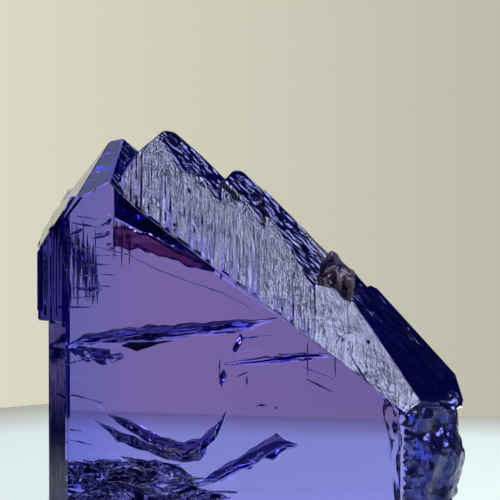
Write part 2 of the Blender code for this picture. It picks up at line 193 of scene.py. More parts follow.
# Their rows: middle across and up, half length, half height, depths of upper and lower edge, lean
SHORT_CRACKS = [
    # Beside the ribbed left side
    (-10.0, 19.50, 1.1, 0.03, -5.2, -5.0, 0.03),
    (-9.29, 18.40, 0.06, 1.35, -5.3, -5.1, 0.0),
    (-10.1, 12.95, 0.85, 0.04, -5.0, -4.8, 0.25),
    (-8.7, 19.05, 0.9, 0.04, -4.8, -4.6, 0.04),
    (-8.9, 18.60, 0.7, 0.05, -4.4, -4.2, -0.03),
    (-9.3, 17.95, 1.3, 0.04, -5.0, -4.8, 0.01),
    (-9.6, 17.15, 0.9, 0.16, -4.6, -4.2, -0.04),
    (-9.0, 17.25, 0.8, 0.05, -3.6, -3.4, 0.02),
    (-9.9, 16.65, 0.8, 0.07, -5.0, -4.8, 0.05),
    (-10.0, 16.10, 0.7, 0.06, -4.0, -3.8, -0.02),
    # In the upper left corner
    (-9.6, 21.30, 0.6, 0.07, -4.8, -4.6, -0.10),
    (-9.7, 20.85, 0.8, 0.05, -4.4, -4.2, -0.12),
    (-8.6, 20.90, 0.4, 0.10, -4.0, -3.6, 0.20),
    (-8.8, 20.20, 0.6, 0.06, -3.4, -3.2, 0.10),
    (-10.2, 20.50, 0.4, 0.12, -4.2, -3.9, 0.15),
    (-8.3, 21.10, 0.16, 0.20, -5.0, -4.6, 0.05),
    (-8.4, 20.35, 0.14, 0.16, -5.0, -4.7, 0.05),
    (-8.2, 19.45, 0.18, 0.14, -5.0, -4.7, 0.02),
    # Round the middle crack, low at the left, and along the slope and the right edge
    (-1.7, 11.9, 0.22, 0.50, 1.0, 1.8, 0.1),
    (-0.8, 13.9, 0.35, 0.42, 1.1, 1.6, 0.35),
    (-9.8, 10.75, 1.1, 0.05, -4.0, -3.6, -0.3),
    (-10.3, 8.85, 0.4, 0.06, -3.0, -2.6, -0.1),
    (-10.1, 8.2, 0.7, 0.06, -2.4, -2.0, -0.2),
    (3.8, 12.2, 1.0, 0.05, 0.0, 0.4, -0.4),
    (2.6, 15.0, 0.5, 0.10, -2.0, -1.4, -0.4),
    (0.9, 17.1, 0.5, 0.08, -3.0, -2.6, -0.4),
    (8.7, 7.4, 0.10, 0.7, -2.0, -1.2, 0.0),
    # Upright ones through the middle crack
    (3.24, 13.2, 0.03, 1.4, -4.0, -3.9, 0.0),
    (4.85, 12.7, 0.03, 0.7, -3.6, -3.5, 0.02),
    (-1.9, 12.3, 0.03, 0.9, -3.0, -2.9, 0.0),
    # Wisps under the edge of the bright slope
    (-0.9, 17.5, 0.20, 0.30, -2.4, -2.0, -0.20),
    (0.1, 17.0, 0.35, 0.12, -3.4, -3.2, -0.10),
    (0.9, 16.5, 0.25, 0.30, -2.8, -2.4, -0.20),
    (1.7, 15.9, 0.40, 0.16, -3.6, -3.3, -0.30),
    (2.4, 15.3, 0.22, 0.34, -2.2, -1.8, -0.10),
    (3.3, 14.7, 0.35, 0.10, -3.0, -2.8, -0.30),
    (-1.8, 18.0, 0.08, 0.40, -2.0, -1.8, 0.02),
    (0.3, 14.35, 0.9, 0.05, -2.6, -2.4, 0.10),
]

# Small flat cracks that catch the light: middle across and up, half length, half height, depth, lean
GLINTS = [
    (-2.25, 14.80, 0.50, 0.05, -3.9, 0.28),
    (-0.55, 12.15, 0.35, 0.05, -2.0, 0.15),
    (-0.30, 11.75, 0.06, 0.30, -2.0, 0.0),
    (3.94, 11.50, 0.76, 0.06, -3.0, -0.38),
    (0.56, 10.35, 0.32, 0.07, -3.0, 0.03),
    (1.40, 10.20, 0.08, 0.08, -3.0, 0.0),
    (-8.35, 21.50, 0.12, 0.09, -4.9, 0.05),
    (-8.60, 21.10, 0.09, 0.12, -4.8, 0.0),
    (-8.90, 20.35, 0.26, 0.06, -4.6, 0.05),
    (-8.35, 19.75, 0.16, 0.10, -4.6, 0.05),
    (-9.60, 13.55, 0.22, 0.05, -3.2, -0.08),
    (-9.20, 13.25, 0.30, 0.04, -3.2, -0.12),
    (-8.70, 13.05, 0.24, 0.05, -3.2, -0.10),
]
# How far back such a crack runs for each mm to the right and each mm up, and how open it is, which is
# also the height of its folds
GLINT_RIGHT = 0.45
GLINT_UP = 0.60
GLINT_GAP = 0.004

# Multiples of these, less their whole part, spread places evenly without a visible order
SPREAD_ACROSS = 0.618034
SPREAD_UP = 0.7548777
SPREAD_BACK = 0.569840

# Upright growth tubes and splits at the left: how many, the range across, up and back, the fall of
# the roof over those beyond its edge, and the foremost place in the thin part of the overgrowth
NEEDLES = 78
NEEDLES_LEFT = -12.2
NEEDLES_RIGHT = -8.9
NEEDLES_BOTTOM = 15.9
NEEDLES_TOP = 21.4
NEEDLES_FRONT = -4.9
NEEDLES_DEEP = 4.0
ROOF_EDGE = -10.6
ROOF_FALL = 0.9
THIN_PART = -11.2
THIN_FRONT = -3.0

# Reddish upright splits under the left end of the dark band: how many, the range across, their
# middle level and their depths
WINE_SPLITS = 7
WINE_LEFT = -8.1
WINE_RIGHT = -7.2
WINE_LEVEL = 20.3
WINE_DEPTHS = (2.0, 2.2)

# Crushed zone in the lower left: how many cracks, the range across, up and back, the outline of its
# top, and the left end of the slab there
RUBBLE_CRACKS = 95
RUBBLE_LEFT = -10.6
RUBBLE_WIDE = 8.2
RUBBLE_BOTTOM = 2.2
RUBBLE_FRONT = -4.6
RUBBLE_DEEP = 8.4
RUBBLE_TOP = [(-10.8, 7.3), (-8.5, 7.2), (-6.2, 7.5), (-4.6, 6.8), (-3.4, 6.0), (-2.3, 5.4)]
SLAB_LEFT = -11.3

# Table top: corners, how far it is under the crystal, and the width and colours of its faded back edge
TABLE_CORNERS = [(-120.0, -50.0), (160.0, -50.0), (160.0, 60.0), (-14.8, 118.0), (-75.0, 60.0)]
TABLE_UNDER = 0.03
TABLE_FADE = 16.0
TABLE_EDGE_PAINT = "#b8b291"
TABLE_PAINT = "#e4edcf"

# The room, by direction, as the parts across, back and up of a line of length 1. The cream wall is
# lit behind and, weaker, at the right, as far as it is low down, and the rest is dim and blue.
WALL_LEFT = "#dbd8c5"
WALL_RIGHT = "#bdbcab"
WALL_SHADE = (-0.03, 0.03)
LIT_BEHIND = (0.92, 0.98)
LIT_BESIDE = (0.66, 0.78)
BESIDE_SHARE = 0.75
LIT_LOW = (0.12, 0.30)
HIGH_SHARE = 0.03
ROOM_BLUE = "#0d105f"

# Soft lights: name, direction, distance, size, brightness, colour. The key light isn't mirrored in
# the faces.
LIT_MIDDLE = Vector((0.0, 0.0, 15.0))
SLOPE_SOFTBOX = ("slope_softbox", (0.615, 0.09, 0.78), 400.0, 205.0, 17.0, "#ccd4ff")
KEY_SOFTBOX = ("key_softbox", (0.28, -0.76, 0.58), 500.0, 400.0, 6.6, "#fffff0")
LEFT_CARD = ("left_card", (-0.327, 0.801, 0.50), 400.0, 160.0, 0.7, "#c4d0ff")


def linear(hex_colour):
    """An sRGB hex colour as linear light, with alpha."""
    parts = [int(hex_colour[start:start + 2], 16) / 255 for start in (1, 3, 5)]
    light = [part / 12.92 if part <= 0.04045 else ((part + 0.055) / 1.055) ** 2.4 for part in parts]
    return (*light, 1.0)


def node(tree, kind, settings=None, links=None, **attributes):
    """Add a node, set its attributes and input values, and link its inputs."""
    made = tree.nodes.new(kind)
    for name, value in attributes.items():
        setattr(made, name, value)
    for name, value in (settings or {}).items():
        made.inputs[name].default_value = value
    for name, source in (links or {}).items():
        tree.links.new(source, made.inputs[name])
    return made


def pick_only(item):
    """Select one object alone and make it the active one."""
    bpy.ops.object.select_all(action="DESELECT")
    item.select_set(True)
    bpy.context.view_layer.objects.active = item


# Body of the crystal

def crystal_body():
    """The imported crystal's own surface, merged into one closed mesh."""
    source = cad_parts[NODE]
    body = bpy.data.objects.new("crystal", source.data.copy())
    bpy.context.scene.collection.objects.link(body)
    pick_only(body)
    bpy.ops.object.mode_set(mode="EDIT")
    bpy.ops.mesh.select_all(action="SELECT")
    bpy.ops.mesh.remove_doubles(threshold=BODY_WELD * MM)
    bpy.ops.object.mode_set(mode="OBJECT")
    settle_broad_faces(body)
    roughen(body)
    bpy.ops.object.shade_flat()
    return body


def settle_broad_faces(body):
    """Bring the crystals that grew side by side into one flat plane on each broad face."""
    for vert in body.data.vertices:
        if abs(vert.co.y) > (HALF_DEPTH - LEVELLED) * MM:
            vert.co.y = math.copysign(HALF_DEPTH * MM, vert.co.y)
    bpy.ops.object.mode_set(mode="EDIT")
    bpy.ops.mesh.select_all(action="SELECT")
    bpy.ops.mesh.remove_doubles(threshold=LEVELLED_WELD * MM)
    bpy.ops.mesh.dissolve_degenerate(threshold=LEVELLED_WELD * MM)
    bpy.ops.object.mode_set(mode="OBJECT")


def is_fracture(place):
    """Whether a place, in metres, belongs to the old fracture at the right or to the worn fourth peak."""
    across, back, up = place / MM
    corner = up > CORNER_BOTTOM and back < CORNER_BACK and across < CORNER_RIGHT
    lump = across > LUMP_LEFT and up < LUMP_TOP and not corner
    over = DOME_ACROSS[0] < across < DOME_ACROSS[1] and DOME_BACK[0] < back < DOME_BACK[1]
    return lump or (over and up > DOME_BOTTOM)


def roughen(body):
    """Give the worn and broken places a finer roughness, fading out at their borders."""
    pick_only(body)
    bpy.ops.object.mode_set(mode="EDIT")
    bpy.ops.mesh.select_mode(type="FACE")
    bpy.ops.mesh.select_all(action="DESELECT")
    bpy.ops.object.mode_set(mode="OBJECT")
    mesh = body.data
    for face in mesh.polygons:
        face.select = face.area < SMALL_FACE * MM * MM and is_fracture(face.center)
    bpy.ops.object.mode_set(mode="EDIT")
    bpy.ops.mesh.subdivide(number_cuts=CHIP_CUTS)
    bpy.ops.mesh.select_mode(type="VERT")
    bpy.ops.object.mode_set(mode="OBJECT")
    rim = set()
    for face in mesh.polygons:
        if not face.select:
            rim.update(face.vertices)
    moves = {}
    for face in mesh.polygons:
        if face.select:
            for index in face.vertices:
                if index not in rim:
                    moves[index] = moves.get(index, Vector()) + face.normal
    for index, normal in moves.items():
        vert = mesh.vertices[index]
        place = vert.co / MM
        small = noise.noise(place / CHIP_SMALL + Vector((5.0, 0.0, 0.0)))
        chip = noise.noise(place / CHIP_LARGE) + 0.5 * small
        edge = 1.0 - 2.0 * abs(noise.noise(place / CHIP_EDGE + Vector((0.0, 9.0, 0.0))))
        vert.co += normal.normalized() * (CHIP_DEEP * chip - EDGE_DEEP * edge) * MM
        for axis in range(3):
            vert.co[axis] = max(CAD_BOX[0][axis], min(CAD_BOX[1][axis], vert.co[axis]))


# Cracks inside the crystal

def between(rows, at, column):
    """Straight-line reading of a list of rows, whose first value is the place."""
    for row, following in zip(rows, rows[1:]):
        if at <= following[0]:
            share = max(0.0, (at - row[0]) / (following[0] - row[0]))
            return row[column] + share * (following[column] - row[column])
    return rows[-1][column]


def inside(across, up, back):
    """The place inside the crystal that shows at a spot of the front view."""
    bent = math.asin(math.sin(VIEW_DOWN) / GEM_IOR)
    front_z = (up + HALF_DEPTH * math.sin(VIEW_DOWN)) / math.cos(VIEW_DOWN)
    return Vector((across, back, front_z - (back + HALF_DEPTH) * math.tan(bent)))


def crack(name, outline, near, far, wrinkle, grain, gap, cells, holes=0.0, bend=1.0, turn=0.0):
    """An open crack inside the crystal: a thin, wrinkled, lens-shaped gap.

    outline has rows of (across, upper edge, lower edge) as the front view shows them. near and far
    are the depths of the upper and lower edge. wrinkle is the height of its folds, grain their size
    and gap its widest opening. holes is the share of the crack that has healed shut, in patches. bend
    above 1 keeps the upper part facing the viewer, where it stays clear, and runs the lower part back,
    where it is dark. turn is how far the right end stands farther back than the left, per mm across.
    """
    bpy.ops.object.select_all(action="DESELECT")
    bpy.ops.mesh.primitive_grid_add(x_subdivisions=cells[0], y_subdivisions=cells[1], size=2.0)
    made = bpy.context.object
    made.name = name
    seed = Vector((sum(map(ord, name)) * 0.37, near * 3.1, far * 1.7))
    left, right = outline[0][0], outline[-1][0]
    for vert in made.data.vertices:
        along = (vert.co.x + 1) / 2
        down = (1 - vert.co.y) / 2
        across = left + (right - left) * along
        upper = between(outline, across, 1)
        lower = between(outline, across, 2)
        bay = noise.noise(Vector((across / RAGGED_WIDE, down * 3.0, 0.0)) + seed) * RAGGED_DEEP
        fade = math.sin(math.pi * min(1.0, max(0.0, down)) * 0.5 + 0.6)
        down = down + bay * (0.3 + abs(upper - lower)) * fade
        deep = max(0.0, down) ** bend
        back = near + (far - near) * deep + turn * (across - left)
        place = inside(across, upper + (lower - upper) * down, back)
        stretched = Vector((place.x / 3.0, place.y, place.z)) / grain
        fold = noise.noise(stretched + seed) + 0.5 * noise.noise(stretched * 2.3 + seed * 2)
        cross = noise.noise(stretched * 1.1 + seed * 3)
        vert.co = place + Vector((0.3 * cross, 0.6 * cross, fold)) * wrinkle
        vert.co.y = max(-HALF_DEPTH + CRACK_CLEAR, min(HALF_DEPTH - CRACK_CLEAR, vert.co.y))
    heal(made, holes, grain, seed)
    open_up(made, gap)
    return made


def heal(made, holes, grain, seed):
    """Take out the patches where a crack has healed shut, and leave the border of the rest selected."""
    pick_only(made)
    bpy.ops.object.mode_set(mode="EDIT")
    bpy.ops.mesh.select_all(action="DESELECT")
    bpy.ops.object.mode_set(mode="OBJECT")
    for face in made.data.polygons:
        healed = noise.noise(face.center / (grain * 1.2) + seed * 5) * 0.5 + 0.5
        face.select = healed < holes
    bpy.ops.object.mode_set(mode="EDIT")
    bpy.ops.mesh.delete(type="FACE")
    bpy.ops.mesh.select_all(action="SELECT")
    bpy.ops.mesh.delete_loose()
    bpy.ops.mesh.select_all(action="DESELECT")
    bpy.ops.mesh.select_non_manifold()
    bpy.ops.object.mode_set(mode="OBJECT")


def open_up(made, gap):
    """Open a crack's sheet into a gap that closes at its selected border, and take it from mm to metres.

    Its faces point into the gap, away from the crystal round it.
    """
    open_part = made.vertex_groups.new(name="open")
    open_part.add([vert.index for vert in made.data.vertices if not vert.select], 1.0, "REPLACE")
    thick = made.modifiers.new("gap", "SOLIDIFY")
    thick.thickness = gap
    thick.offset = 0.0
    thick.vertex_group = "open"
    bpy.ops.object.modifier_apply(modifier=thick.name)
    bpy.ops.object.mode_set(mode="EDIT")
    bpy.ops.mesh.select_all(action="SELECT")
    bpy.ops.mesh.remove_doubles(threshold=CRACK_WELD)
    bpy.ops.transform.resize(value=(MM, MM, MM), center_override=(0.0, 0.0, 0.0))
    bpy.ops.mesh.flip_normals()
    bpy.ops.object.mode_set(mode="OBJECT")
    bpy.ops.object.shade_smooth()


def large_cracks():
    """The cracks that the photograph shows one by one."""
    return [
        crack("long_crack", LONG_CRACK, -3.0, -0.8, 0.08, 0.5, 0.05, (150, 20), bend=1.6),
        crack("black_lens", BLACK_LENS, -4.6, -4.1, 0.03, 0.5, 0.04, (30, 10)),
        crack("veil", VEIL, -1.0, 1.0, 0.12, 0.3, 0.03, (60, 28), holes=0.35),
        crack("middle_crack", MIDDLE_CRACK, 0.0, 1.5, 0.06, 0.6, 0.04, (80, 12), holes=0.3),
        crack("left_wing", LEFT_WING, -2.2, -1.7, 0.06, 0.6, 0.05, (100, 20), bend=1.6),
        crack("left_core", LEFT_CORE, -3.4, -2.4, 0.05, 0.5, 0.05, (100, 14)),
        crack("right_feather", RIGHT_FEATHER, 1.0, 2.4, 0.06, 0.6, 0.05, (100, 20), bend=2.0),
        crack("edge_veil", EDGE_VEIL, -4.9, -4.5, 0.10, 0.4, 0.03, (18, 60), holes=0.5),
        crack("thin_crack", THIN_CRACK, -2.0, -1.7, 0.05, 1.2, 0.03, (100, 3)),
        crack("wine_streak", WINE_STREAK, 1.0, 1.35, 0.07, 0.6, 0.03, (90, 14), bend=1.6),
    ]


def small_crack(name, across, up, half_long, half_high, near, far, lean):
    """A short lens-shaped crack. lean is how much higher its right end stands than its middle."""
    outline = [
        (across - half_long, up - lean + SHORT_TIP, up - lean - SHORT_TIP),
        (across - half_long * 0.5, up - lean * 0.5 + half_high * 0.8, up - lean * 0.5 - half_high * 0.9),
        (across + half_long * 0.3, up + lean * 0.3 + half_high, up + lean * 0.3 - half_high * 0.7),
        (across + half_long, up + lean + SHORT_TIP, up + lean - SHORT_TIP),
    ]
    cells_along = max(10, int(2 * half_long * SHORT_CELLS[0]))
    cells_up = max(5, int(2 * half_high * SHORT_CELLS[1]))
    return crack(name, outline, near, far, SHORT_WRINKLE, SHORT_GRAIN, SHORT_GAP, (cells_along, cells_up),
                 holes=SHORT_HOLES)


def glint(name, across, up, half_long, half_high, back, lean):
    """A small flat crack, turned so that it mirrors the light above the bright slope."""
    outline = [
        (across - half_long, up - lean + 0.4 * half_high, up - lean - 0.4 * half_high),
        (across, up + half_high, up - half_high),
        (across + half_long, up + lean + 0.3 * half_high, up + lean - 0.3 * half_high),
    ]
    turn = GLINT_RIGHT + GLINT_UP * lean / half_long
    rise = GLINT_UP * half_high
    return crack(name, outline, back + rise, back - rise, GLINT_GAP, 0.4, GLINT_GAP, (20, 6), turn=turn)


def rubble():
    """Crushed zone in the lower left, near the broken bottom: many small cracks at all depths."""
    made = []
    for count in range(RUBBLE_CRACKS):
        spread = (count * SPREAD_ACROSS) % 1.0
        level = (count * SPREAD_UP + 0.13) % 1.0
        depth = (count * SPREAD_BACK + 0.4) % 1.0
        across = RUBBLE_LEFT + RUBBLE_WIDE * spread
        top = between(RUBBLE_TOP, across, 1)
        up = RUBBLE_BOTTOM + (top - 0.35 - RUBBLE_BOTTOM) * level
        long = 0.9 + 1.1 * ((count * 0.37) % 1.0)
        across = max(SLAB_LEFT + long, across)
        near = RUBBLE_FRONT + RUBBLE_DEEP * depth
        high = 0.36 + 0.18 * math.sin(1.7 * count)
        lean = 0.45 * math.sin(2.1 * count)
        made.append(small_crack("rubble_%d" % count, across, up, long, high, near, near + 1.1, lean))
    return made


def needles():
    """Upright splits and growth tubes in the left side, dark edge-on to the view, and tinted with painted
    shade.
    """
    made = []
    for count in range(NEEDLES):
        share = (count * SPREAD_ACROSS + 0.21) % 1.0
        level = (count * SPREAD_UP) % 1.0
        across = NEEDLES_LEFT + (NEEDLES_RIGHT - NEEDLES_LEFT) * share ** 1.3
        tall = 0.5 + 1.3 * ((count * 0.41) % 1.0)
        wide = 0.03 + 0.05 * ((count * 0.73) % 1.0)
        roof = NEEDLES_TOP - ROOF_FALL * max(0.0, ROOF_EDGE - across)
        up = NEEDLES_BOTTOM + tall + (roof - NEEDLES_BOTTOM - 2.0 * tall) * level
        outline = [
            (across - wide, up + 0.03, up - 0.03),
            (across - 0.3 * wide, up + tall, up - 0.8 * tall),
            (across + 0.5 * wide, up + 0.7 * tall, up - tall),
            (across + wide, up + 0.03, up - 0.03),
        ]
        near = NEEDLES_FRONT + NEEDLES_DEEP * ((count * SPREAD_BACK + 0.4) % 1.0)
        if across < THIN_PART:
            near = max(near, THIN_FRONT)
        name = "needle_%d" % count
        made.append(crack(name, outline, near, near + 0.1, 0.03, 0.4, 0.02, (3, 18), turn=1.6))
    return made


def wine_splits():
    """Reddish splits that hang under the left end of the dark band."""
    made = []
    for count in range(WINE_SPLITS):
        across = WINE_LEFT + (WINE_RIGHT - WINE_LEFT) * count / (WINE_SPLITS - 1)
        tall = 0.7 + 0.5 * math.sin(2.3 * count + 1.0)
        up = WINE_LEVEL + 0.35 * math.sin(1.9 * count)
        outline = [
            (across - 0.07, up + 0.03, up - 0.03),
            (across - 0.02, up + tall, up - tall),
            (across + 0.05, up + 0.7 * tall, up - 0.8 * tall),
            (across + 0.08, up + 0.03, up - 0.03),
        ]
        made.append(crack("wine_split_%d" % count, outline, *WINE_DEPTHS, 0.03, 0.4, 0.02, (3, 24)))
    return made


# How the finishes are made

def clear_zoisite(name, roughness, stain_and_shade="#ffffff", shine="#ffffff"):
    """A surface of the clear gem crystal: glossy, see-through, blue-violet by its depth.

    Its first colour is the film of colour on it: real staining on some finishes, painted shade on the
    cracks. shine is the tint of what it mirrors.
    """
    made = bpy.data.materials.new(name)
    made.use_nodes = True
    tree = made.node_tree
    surface = tree.nodes["Principled BSDF"]
    surface.inputs["Base Color"].default_value = linear(stain_and_shade)
    surface.inputs["Roughness"].default_value = roughness
    surface.inputs["IOR"].default_value = GEM_IOR
    surface.inputs["Transmission Weight"].default_value = 1.0
    surface.inputs["Specular Tint"].default_value = linear(shine)
    depth = node(tree, "ShaderNodeVolumeAbsorption", {
        "Color": linear(ABSORBED_COLOUR), "Density": ABSORBED_DENSITY,
    })
    tree.links.new(depth.outputs["Volume"], tree.nodes["Material Output"].inputs["Volume"])
    return made


def colour_zones(made):
    """Natural zoning: bluer towards the left end, and less green in the upper part than in the lower."""
    tree = made.node_tree
    where = node(tree, "ShaderNodeTexCoord")
    along = node(tree, "ShaderNodeSeparateXYZ", links={"Vector": where.outputs["Object"]})
    height = node(tree, "ShaderNodeMapRange", {
        "From Min": ZONE_LEVELS[0] * MM, "From Max": ZONE_LEVELS[1] * MM,
    }, {"Value": along.outputs["Z"]}, interpolation_type="SMOOTHSTEP")
    across = node(tree, "ShaderNodeMapRange", {
        "From Min": ZONE_ACROSS[0] * MM, "From Max": ZONE_ACROSS[1] * MM,
    }, {"Value": along.outputs["X"]}, interpolation_type="SMOOTHSTEP")
    upright = node(tree, "ShaderNodeMix", {
        6: linear(LOWER_ZONE), 7: linear(UPPER_ZONE),
    }, {0: height.outputs[0]}, data_type="RGBA")
    zones = node(tree, "ShaderNodeMix", {7: linear(LEFT_ZONE)}, {
        0: across.outputs[0], 6: upright.outputs[2],
    }, data_type="RGBA")
    tree.links.new(zones.outputs[2], tree.nodes["Principled BSDF"].inputs["Base Color"])


def drawn_out(tree, where, along, sizes):
    """The place measured along three directions, each in steps of its own size."""
    parts = []
    for direction, size in zip(along, sizes):
        scale = Vector(direction).normalized() / (size * MM)
        dot = node(tree, "ShaderNodeVectorMath", {1: scale}, {0: where.outputs["Object"]},
                   operation="DOT_PRODUCT")
        parts.append(dot.outputs["Value"])
    drawn = node(tree, "ShaderNodeCombineXYZ", links={"X": parts[0], "Y": parts[1], "Z": parts[2]})
    return drawn.outputs["Vector"]


def drawn_noise(tree, where, along, sizes, detail):
    """Irregular marks with their own size along each of three directions."""
    marks = node(tree, "ShaderNodeTexNoise", {"Scale": 1.0, "Detail": detail, "Roughness": 0.6}, {
        "Vector": drawn_out(tree, where, along, sizes),
    })
    return marks.outputs["Fac"]


def terraces(tree, where, along):
    """A height that rises in steps across the slope, with wandering edges."""
    level = node(tree, "ShaderNodeVectorMath", {1: STEP_RISE / (STEP_APART * MM)}, {
        0: where.outputs["Object"],
    }, operation="DOT_PRODUCT")
    swell = drawn_noise(tree, where, along, STEP_SWELL, 3.0)
    wander = node(tree, "ShaderNodeMath", {1: STEP_WANDER, 2: STEP_START}, {0: swell},
                  operation="MULTIPLY_ADD")
    height = node(tree, "ShaderNodeMath", links={0: level.outputs["Value"], 1: wander.outputs[0]},
                  operation="ADD")
    steps = node(tree, "ShaderNodeMath", {1: 1.0}, {0: height.outputs[0]}, operation="SNAP")
    return steps.outputs[0]


def striated(made, along, layers, step=0.0, chips=None):
    """Growth ridges drawn out along the fall of a face. Each layer has three sizes and a height.

    step adds low terraces of that height, whose edges cross the face as thin wandering lines. chips
    adds small hollows with sharp borders, given by three sizes and a depth. The real ridges are down
    to hundredths of a mm apart, too fine to show, so the finest are drawn about 0.1 mm apart.
    """
    tree = made.node_tree
    where = node(tree, "ShaderNodeTexCoord")
    heights = []
    if chips:
        sizes, deep = chips
        hollows = node(tree, "ShaderNodeTexVoronoi", {"Scale": 1.0, "Randomness": 1.0}, {
            "Vector": drawn_out(tree, where, along, sizes),
        })
        heights.append((hollows.outputs["Distance"], deep))
    for sizes, tall in layers:
        heights.append((drawn_noise(tree, where, along, sizes, 3.0), tall))
    if step > 0:
        heights.append((terraces(tree, where, along), step))
    relief = tree.nodes["Principled BSDF"].inputs["Normal"]
    for height, tall in heights:
        bumps = node(tree, "ShaderNodeBump", {"Strength": 1.0, "Distance": tall * MM}, {"Height": height})
        if relief.is_linked:
            tree.links.new(relief.links[0].from_socket, bumps.inputs["Normal"])
        tree.links.new(bumps.outputs["Normal"], relief)


def etched(made, patterns, dull):
    """Dull etched marks in the gloss. Each pattern has three directions and three sizes."""
    tree = made.node_tree
    gloss_tint = tree.nodes["Principled BSDF"].inputs["Specular Tint"]
    where = node(tree, "ShaderNodeTexCoord")
    shine = tuple(gloss_tint.default_value)
    for along, sizes in patterns:
        gloss = node(tree, "ShaderNodeMapRange", {
            "From Min": ETCHED_SPAN[0], "From Max": ETCHED_SPAN[1], "To Min": dull, "To Max": 1.0,
        }, {"Value": drawn_noise(tree, where, along, sizes, 2.0)})
        tint = node(tree, "ShaderNodeMix", {0: 1.0, 6: shine}, {7: gloss.outputs[0]},
                    data_type="RGBA", blend_type="MULTIPLY")
        if gloss_tint.is_linked:
            tree.links.new(gloss_tint.links[0].from_socket, tint.inputs[6])
        tree.links.new(tint.outputs[2], gloss_tint)


# The finishes of the crystal

def growth_face():
    """Smooth growth face: a clear window, as flat and glossy as glass, into the zoned colour."""
    made = clear_zoisite("growth_face", 0.02)
    colour_zones(made)
    return made


def striated_front_slope():
    """Front slope, finely ribbed down its fall: a silvery sheen in thin upright streaks."""
    made = clear_zoisite("striated_front_slope", 0.10)
    striated(made, DOWN_FRONT, [((0.9, 6.0, 6.0), 0.10), ((0.11, 5.0, 5.0), 0.17)], step=0.3)
    return made


def striated_right_slope():
    """Steep right slope, faintly ribbed: nearly black navy, with a few pale scratches."""
    made = clear_zoisite("striated_right_slope", 0.05, "#adadff", "#9090ff")
    striated(made, DOWN_RIGHT, [((0.14, 0.3, 2.0), 0.03)], chips=((0.30, 0.45, 1.9), 0.045))
    return made


def chipped_peak():
    """Peaks with many small sharp hollows: navy, broken up by bright flecks."""
    made = clear_zoisite("chipped_peak", 0.05, "#dad3ff", "#bcbcf3")
    striated(made, DOWN_RIGHT, [((0.18, 0.25, 1.2), 0.05)], chips=((0.35, 0.45, 1.0), 0.22))
    return made


def striated_side():
    """Narrow left face, ribbed along the crystal: dim violet with upright lines."""
    made = clear_zoisite("striated_side", 0.05, shine="#b3aaff")
    striated(made, DOWN_SIDE, [((0.22, 5.0, 1.0), 0.05)])
    return made


def old_fracture():
    """Old lumpy fracture, slightly etched: soft gloss over deep blue."""
    return clear_zoisite("old_fracture", 0.18, "#6976ed", "#8b95ff")


def worn_peak():
    """Worn peak, grainy and stained by iron: dull brown with lilac specks."""
    made = clear_zoisite("worn_peak", 0.25, "#bc8ba2", "#f9daed")
    striated(made, EVERY_WAY, [((0.25, 0.25, 0.25), 0.10)], chips=((0.45, 0.45, 0.45), 0.14))
    etched(made, [(EVERY_WAY, (0.35, 0.35, 0.35))], 0.05)
    return made


def dark_overgrowth():
    """Overgrowth at the upper left, ribbed in the solid: glossy dark blue."""
    return clear_zoisite("dark_overgrowth", 0.05, "#8b8bff", "#8989ff")


def striated_low_slope():
    """Lower end of the front slope, uneven and etched: satin sheen with grey marks and step lines."""
    made = clear_zoisite("striated_low_slope", 0.14)
    striated(made, DOWN_FRONT, [((0.8, 1.6, 1.6), 0.22), ((0.11, 2.0, 2.0), 0.08)], step=1.0)
    etched(made, [(ACROSS_FRONT, (0.40, 4.0, 3.0)), (DOWN_FRONT, (0.22, 1.4, 1.4))], 0.4)
    return made


def graphite_film():
    """Painted shade in a crack: an opaque, matt black patch where a steep crack looks dark."""
    made = bpy.data.materials.new("graphite_film")
    made.use_nodes = True
    surface = made.node_tree.nodes["Principled BSDF"]
    surface.inputs["Base Color"].default_value = linear("#0a0a16")
    surface.inputs["Roughness"].default_value = 0.5
    return made


FINISHES = [
    growth_face, striated_front_slope, striated_right_slope, chipped_peak, striated_side, old_fracture,
    worn_peak, dark_overgrowth, striated_low_slope,
]


def looks(face, facing, near):
    """Whether a face looks in a direction, within an angle."""
    return face.normal.angle(facing) < math.radians(near)


def finish_of(face):
    """The finish of one face of the crystal, by its place and by where it looks."""
    across = face.center.x / MM
    up = face.center.z / MM
    if is_fracture(face.center):
        return old_fracture if across > FRACTURE_LEFT else worn_peak
    if across < OVERGROWTH_RIGHT and up > OVERGROWTH_BOTTOM:
        return dark_overgrowth
    if looks(face, RIGHT_SLOPE, RIGHT_NEAR):
        chipped = CHIPPED_PEAKS[0] < across < CHIPPED_PEAKS[1]
        return chipped_peak if chipped else striated_right_slope
    if looks(face, FRONT_SLOPE, FRONT_NEAR):
        return striated_low_slope if across > LOW_SLOPE_LEFT else striated_front_slope
    if looks(face, LEFT_CHAMFER, CHAMFER_NEAR):
        return striated_side
    return growth_face


def dress(body):
    """Give the crystal its materials, and each face the one that belongs to it."""
    body.data.materials.clear()
    for finish in FINISHES:
        body.data.materials.append(finish())
    for face in body.data.polygons:
        face.material_index = FINISHES.index(finish_of(face))


def line_cracks(cracks):
    """Give each crack the lining that shows in it.

    Most have a thin bluish tint on their faces, painted shade which darkens them at a slant. The
    wine-named ones are reddened by iron, and the black one is lined with a matt black sheet of painted
    shade.
    """
    # Painted shade: a bluish tint on the crack faces, and a black sheet in the black lens, darken the
    # cracks
    shade_tint = clear_zoisite("stained_crack", 0.05, "#bcb1ed")
    linings = {"wine": clear_zoisite("wine_stained_crack", 0.05, "#df86a6"), "black": graphite_film()}
    for one in cracks:
        one.data.materials.clear()
        one.data.materials.append(linings.get(one.name.split("_")[0], shade_tint))


# Stage, lights and camera

